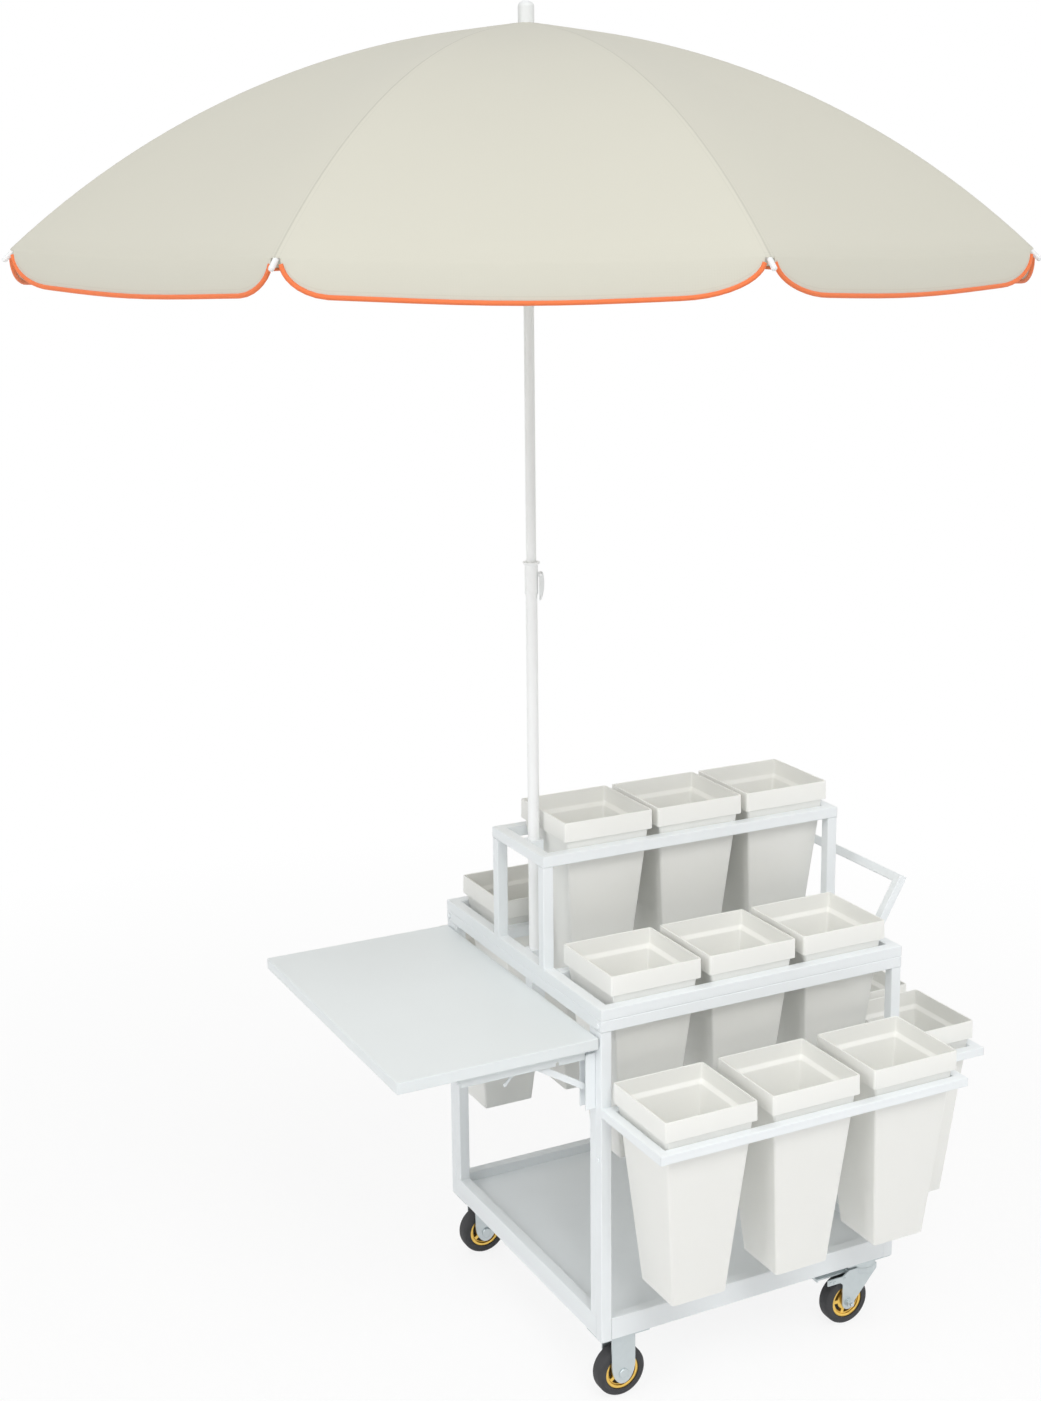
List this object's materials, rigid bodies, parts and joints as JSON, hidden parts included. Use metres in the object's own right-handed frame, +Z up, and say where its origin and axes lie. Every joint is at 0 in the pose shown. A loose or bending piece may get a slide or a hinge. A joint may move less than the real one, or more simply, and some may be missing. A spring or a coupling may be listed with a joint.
{
  "type": "flower cart",
  "caption": "Steel-tube flower cart on casters with tiers of square lift-out buckets, a folding side leaf, a push handle and a market umbrella.",
  "frame": {"origin": "on the floor under the umbrella pole's axis", "axes": "+X along the cart towards the push handle, +Y to its back, +Z up"},
  "size_m": [1.8102, 1.8102, 2.562],
  "materials": {
    "frame_paint": "powder-coated, satin",
    "leaf_board": "white lacquer, satin",
    "bucket_plastic": "smooth, semi-matte",
    "zinc": "zinc plated",
    "tyre": "matte rubber",
    "pole_paint": "painted, satin",
    "white_plastic": "moulded, semi-matte",
    "rib_steel": "painted, satin",
    "canopy_cloth": "woven polyester, matte"
  },
  "bodies": {
    "frame": {"base_frame": "frame_paint", "tray": "frame_paint", "deck_frame": "frame_paint", "tier_frame": "frame_paint", "bucket_racks": "frame_paint", "push_handle": "frame_paint", "frame_bolts": "frame_paint", "bracket_legs": "frame_paint", "caster_plates": "zinc"},
    "leaf": {"leaf": "leaf_board"},
    "leaf_struts": {"bracket_struts": "frame_paint"},
    "leaf_release": {"bracket_levers": "frame_paint"},
    "bucket_top_1": {"bucket_top_1": "bucket_plastic"},
    "bucket_top_2": {"bucket_top_2": "bucket_plastic"},
    "bucket_top_3": {"bucket_top_3": "bucket_plastic"},
    "bucket_deck_front_1": {"bucket_deck_front_1": "bucket_plastic"},
    "bucket_deck_front_2": {"bucket_deck_front_2": "bucket_plastic"},
    "bucket_deck_front_3": {"bucket_deck_front_3": "bucket_plastic"},
    "bucket_deck_back_1": {"bucket_deck_back_1": "bucket_plastic"},
    "bucket_deck_back_2": {"bucket_deck_back_2": "bucket_plastic"},
    "bucket_deck_back_3": {"bucket_deck_back_3": "bucket_plastic"},
    "bucket_rack_front_1": {"bucket_rack_front_1": "bucket_plastic"},
    "bucket_rack_front_2": {"bucket_rack_front_2": "bucket_plastic"},
    "bucket_rack_front_3": {"bucket_rack_front_3": "bucket_plastic"},
    "bucket_rack_back_1": {"bucket_rack_back_1": "bucket_plastic"},
    "bucket_rack_back_2": {"bucket_rack_back_2": "bucket_plastic"},
    "bucket_rack_back_3": {"bucket_rack_back_3": "bucket_plastic"},
    "bucket_rack_end_1": {"bucket_rack_end_1": "bucket_plastic"},
    "bucket_rack_end_2": {"bucket_rack_end_2": "bucket_plastic"},
    "bucket_rack_end_3": {"bucket_rack_end_3": "bucket_plastic"},
    "swivel_front": {"swivel_fork_front": "zinc"},
    "brake_front": {"caster_brake_front": "zinc"},
    "wheel_rigid_front": {"wheel_rigid_front": "tyre"},
    "wheel_swivel_front": {"wheel_swivel_front": "tyre"},
    "swivel_back": {"swivel_fork_back": "zinc"},
    "brake_back": {"caster_brake_back": "zinc"},
    "wheel_rigid_back": {"wheel_rigid_back": "tyre"},
    "wheel_swivel_back": {"wheel_swivel_back": "tyre"},
    "mast": {"mast_lower": "pole_paint"},
    "clamp": {"clamp_lever": "white_plastic"},
    "umbrella_head": {"mast_upper": "pole_paint", "crown": "white_plastic", "canopy": "canopy_cloth"},
    "runner": {"runner": "white_plastic"},
    "rib_1": {"rib_1": "rib_steel"},
    "stretcher_1": {"stretcher_1": "rib_steel"},
    "rib_2": {"rib_2": "rib_steel"},
    "stretcher_2": {"stretcher_2": "rib_steel"},
    "rib_3": {"rib_3": "rib_steel"},
    "stretcher_3": {"stretcher_3": "rib_steel"},
    "rib_4": {"rib_4": "rib_steel"},
    "stretcher_4": {"stretcher_4": "rib_steel"},
    "rib_5": {"rib_5": "rib_steel"},
    "stretcher_5": {"stretcher_5": "rib_steel"},
    "rib_6": {"rib_6": "rib_steel"},
    "stretcher_6": {"stretcher_6": "rib_steel"},
    "rib_7": {"rib_7": "rib_steel"},
    "stretcher_7": {"stretcher_7": "rib_steel"},
    "rib_8": {"rib_8": "rib_steel"},
    "stretcher_8": {"stretcher_8": "rib_steel"}
  },
  "joints": [
    {"name": "leaf_fold", "type": "hinge", "parent": "frame", "child": "leaf", "pos_m": [-0.05, 0, 0.701], "axis": [0, -1, 0], "range_deg": [0, 90]},
    {"name": "strut_swing", "type": "hinge", "parent": "frame", "child": "leaf_struts", "pos_m": [-0.05, 0, 0.639], "axis": [0, -1, 0], "range_deg": [0, 121.3]},
    {"name": "release_press", "type": "hinge", "parent": "leaf", "child": "leaf_release", "pos_m": [-0.18, 0, 0.701], "axis": [0, 1, 0], "range_deg": [0, 15]},
    {"name": "swivel_front_turn", "type": "hinge", "parent": "frame", "child": "swivel_front", "pos_m": [0.578, -0.304, 0], "axis": [0, 0, 1], "continuous": true},
    {"name": "wheel_swivel_front_spin", "type": "hinge", "parent": "swivel_front", "child": "wheel_swivel_front", "pos_m": [0.536, -0.304, 0.05], "axis": [0, 1, 0], "continuous": true},
    {"name": "wheel_rigid_front_spin", "type": "hinge", "parent": "frame", "child": "wheel_rigid_front", "pos_m": [0.018, -0.304, 0.05], "axis": [0, 1, 0], "continuous": true},
    {"name": "brake_front_press", "type": "hinge", "parent": "swivel_front", "child": "brake_front", "pos_m": [0.538, -0.304, 0.115], "axis": [0, -1, 0], "range_deg": [0, 12]},
    {"name": "swivel_back_turn", "type": "hinge", "parent": "frame", "child": "swivel_back", "pos_m": [0.578, 0.304, 0], "axis": [0, 0, 1], "continuous": true},
    {"name": "wheel_swivel_back_spin", "type": "hinge", "parent": "swivel_back", "child": "wheel_swivel_back", "pos_m": [0.536, 0.304, 0.05], "axis": [0, 1, 0], "continuous": true},
    {"name": "wheel_rigid_back_spin", "type": "hinge", "parent": "frame", "child": "wheel_rigid_back", "pos_m": [0.018, 0.304, 0.05], "axis": [0, 1, 0], "continuous": true},
    {"name": "brake_back_press", "type": "hinge", "parent": "swivel_back", "child": "brake_back", "pos_m": [0.538, 0.304, 0.115], "axis": [0, -1, 0], "range_deg": [0, 12]},
    {"name": "mast_lift", "type": "slide", "parent": "frame", "child": "mast", "axis": [0, 0, 1], "range_m": [0, 0.36]},
    {"name": "clamp_open", "type": "hinge", "parent": "mast", "child": "clamp", "pos_m": [0.01562, -0.00789, 1.535], "axis": [-0.4509, -0.8926, 0], "range_deg": [0, 100]},
    {"name": "mast_height", "type": "slide", "parent": "mast", "child": "umbrella_head", "axis": [0, 0, 1], "range_m": [-0.22, 0]},
    {"name": "umbrella_close", "type": "slide", "parent": "umbrella_head", "child": "runner", "axis": [0, 0, -1], "range_m": [0, 0.38486], "deforming": ["canopy"]},
    {"name": "rib_1_fold", "type": "hinge", "parent": "umbrella_head", "child": "rib_1", "pos_m": [0.01994, -0.0015, 2.51157], "axis": [0.075, 0.9972, 0], "range_deg": [0, 59.01]},
    {"name": "stretcher_1_swing", "type": "hinge", "parent": "runner", "child": "stretcher_1", "pos_m": [0.01994, -0.0015, 2.25157], "axis": [-0.075, -0.9972, 0], "range_deg": [0, 39.22]},
    {"name": "rib_2_fold", "type": "hinge", "parent": "umbrella_head", "child": "rib_2", "pos_m": [0.01516, 0.01304, 2.51157], "axis": [-0.6521, 0.7581, 0], "range_deg": [0, 59.01]},
    {"name": "stretcher_2_swing", "type": "hinge", "parent": "runner", "child": "stretcher_2", "pos_m": [0.01516, 0.01304, 2.25157], "axis": [0.6521, -0.7581, 0], "range_deg": [0, 39.22]},
    {"name": "rib_3_fold", "type": "hinge", "parent": "umbrella_head", "child": "rib_3", "pos_m": [0.0015, 0.01994, 2.51157], "axis": [-0.9972, 0.075, 0], "range_deg": [0, 59.01]},
    {"name": "stretcher_3_swing", "type": "hinge", "parent": "runner", "child": "stretcher_3", "pos_m": [0.0015, 0.01994, 2.25157], "axis": [0.9972, -0.075, 0], "range_deg": [0, 39.22]},
    {"name": "rib_4_fold", "type": "hinge", "parent": "umbrella_head", "child": "rib_4", "pos_m": [-0.01304, 0.01516, 2.51157], "axis": [-0.7581, -0.6521, 0], "range_deg": [0, 59.01]},
    {"name": "stretcher_4_swing", "type": "hinge", "parent": "runner", "child": "stretcher_4", "pos_m": [-0.01304, 0.01516, 2.25157], "axis": [0.7581, 0.6521, 0], "range_deg": [0, 39.22]},
    {"name": "rib_5_fold", "type": "hinge", "parent": "umbrella_head", "child": "rib_5", "pos_m": [-0.01994, 0.0015, 2.51157], "axis": [-0.075, -0.9972, 0], "range_deg": [0, 59.01]},
    {"name": "stretcher_5_swing", "type": "hinge", "parent": "runner", "child": "stretcher_5", "pos_m": [-0.01994, 0.0015, 2.25157], "axis": [0.075, 0.9972, 0], "range_deg": [0, 39.22]},
    {"name": "rib_6_fold", "type": "hinge", "parent": "umbrella_head", "child": "rib_6", "pos_m": [-0.01516, -0.01304, 2.51157], "axis": [0.6521, -0.7581, 0], "range_deg": [0, 59.01]},
    {"name": "stretcher_6_swing", "type": "hinge", "parent": "runner", "child": "stretcher_6", "pos_m": [-0.01516, -0.01304, 2.25157], "axis": [-0.6521, 0.7581, 0], "range_deg": [0, 39.22]},
    {"name": "rib_7_fold", "type": "hinge", "parent": "umbrella_head", "child": "rib_7", "pos_m": [-0.0015, -0.01994, 2.51157], "axis": [0.9972, -0.075, 0], "range_deg": [0, 59.01]},
    {"name": "stretcher_7_swing", "type": "hinge", "parent": "runner", "child": "stretcher_7", "pos_m": [-0.0015, -0.01994, 2.25157], "axis": [-0.9972, 0.075, 0], "range_deg": [0, 39.22]},
    {"name": "rib_8_fold", "type": "hinge", "parent": "umbrella_head", "child": "rib_8", "pos_m": [0.01304, -0.01516, 2.51157], "axis": [0.7581, 0.6521, 0], "range_deg": [0, 59.01]},
    {"name": "stretcher_8_swing", "type": "hinge", "parent": "runner", "child": "stretcher_8", "pos_m": [0.01304, -0.01516, 2.25157], "axis": [-0.7581, -0.6521, 0], "range_deg": [0, 39.22]},
    {"name": "bucket_top_1_lift", "type": "slide", "parent": "frame", "child": "bucket_top_1", "axis": [0, 0, 1], "range_m": [0, 0.36]},
    {"name": "bucket_top_2_lift", "type": "slide", "parent": "frame", "child": "bucket_top_2", "axis": [0, 0, 1], "range_m": [0, 0.36]},
    {"name": "bucket_top_3_lift", "type": "slide", "parent": "frame", "child": "bucket_top_3", "axis": [0, 0, 1], "range_m": [0, 0.36]},
    {"name": "bucket_deck_front_1_lift", "type": "slide", "parent": "frame", "child": "bucket_deck_front_1", "axis": [0, 0, 1], "range_m": [0, 0.36]},
    {"name": "bucket_deck_front_2_lift", "type": "slide", "parent": "frame", "child": "bucket_deck_front_2", "axis": [0, 0, 1], "range_m": [0, 0.36]},
    {"name": "bucket_deck_front_3_lift", "type": "slide", "parent": "frame", "child": "bucket_deck_front_3", "axis": [0, 0, 1], "range_m": [0, 0.36]},
    {"name": "bucket_deck_back_1_lift", "type": "slide", "parent": "frame", "child": "bucket_deck_back_1", "axis": [0, 0, 1], "range_m": [0, 0.36]},
    {"name": "bucket_deck_back_2_lift", "type": "slide", "parent": "frame", "child": "bucket_deck_back_2", "axis": [0, 0, 1], "range_m": [0, 0.36]},
    {"name": "bucket_deck_back_3_lift", "type": "slide", "parent": "frame", "child": "bucket_deck_back_3", "axis": [0, 0, 1], "range_m": [0, 0.36]},
    {"name": "bucket_rack_front_1_lift", "type": "slide", "parent": "frame", "child": "bucket_rack_front_1", "axis": [0, 0, 1], "range_m": [0, 0.36]},
    {"name": "bucket_rack_front_2_lift", "type": "slide", "parent": "frame", "child": "bucket_rack_front_2", "axis": [0, 0, 1], "range_m": [0, 0.36]},
    {"name": "bucket_rack_front_3_lift", "type": "slide", "parent": "frame", "child": "bucket_rack_front_3", "axis": [0, 0, 1], "range_m": [0, 0.36]},
    {"name": "bucket_rack_back_1_lift", "type": "slide", "parent": "frame", "child": "bucket_rack_back_1", "axis": [0, 0, 1], "range_m": [0, 0.36]},
    {"name": "bucket_rack_back_2_lift", "type": "slide", "parent": "frame", "child": "bucket_rack_back_2", "axis": [0, 0, 1], "range_m": [0, 0.36]},
    {"name": "bucket_rack_back_3_lift", "type": "slide", "parent": "frame", "child": "bucket_rack_back_3", "axis": [0, 0, 1], "range_m": [0, 0.36]},
    {"name": "bucket_rack_end_1_lift", "type": "slide", "parent": "frame", "child": "bucket_rack_end_1", "axis": [0, 0, 1], "range_m": [0, 0.17]},
    {"name": "bucket_rack_end_2_lift", "type": "slide", "parent": "frame", "child": "bucket_rack_end_2", "axis": [0, 0, 1], "range_m": [0, 0.17]},
    {"name": "bucket_rack_end_3_lift", "type": "slide", "parent": "frame", "child": "bucket_rack_end_3", "axis": [0, 0, 1], "range_m": [0, 0.17]}
  ],
  "couplings": [
    {"joint": "strut_swing", "follows": "leaf_fold", "ratio": 1.3477},
    {"joint": "rib_1_fold", "follows": "umbrella_close", "rad_per_m": 2.6756},
    {"joint": "stretcher_1_swing", "follows": "umbrella_close", "rad_per_m": 1.7782},
    {"joint": "rib_2_fold", "follows": "umbrella_close", "rad_per_m": 2.6756},
    {"joint": "stretcher_2_swing", "follows": "umbrella_close", "rad_per_m": 1.7782},
    {"joint": "rib_3_fold", "follows": "umbrella_close", "rad_per_m": 2.6756},
    {"joint": "stretcher_3_swing", "follows": "umbrella_close", "rad_per_m": 1.7782},
    {"joint": "rib_4_fold", "follows": "umbrella_close", "rad_per_m": 2.6756},
    {"joint": "stretcher_4_swing", "follows": "umbrella_close", "rad_per_m": 1.7782},
    {"joint": "rib_5_fold", "follows": "umbrella_close", "rad_per_m": 2.6756},
    {"joint": "stretcher_5_swing", "follows": "umbrella_close", "rad_per_m": 1.7782},
    {"joint": "rib_6_fold", "follows": "umbrella_close", "rad_per_m": 2.6756},
    {"joint": "stretcher_6_swing", "follows": "umbrella_close", "rad_per_m": 1.7782},
    {"joint": "rib_7_fold", "follows": "umbrella_close", "rad_per_m": 2.6756},
    {"joint": "stretcher_7_swing", "follows": "umbrella_close", "rad_per_m": 1.7782},
    {"joint": "rib_8_fold", "follows": "umbrella_close", "rad_per_m": 2.6756},
    {"joint": "stretcher_8_swing", "follows": "umbrella_close", "rad_per_m": 1.7782}
  ]
}
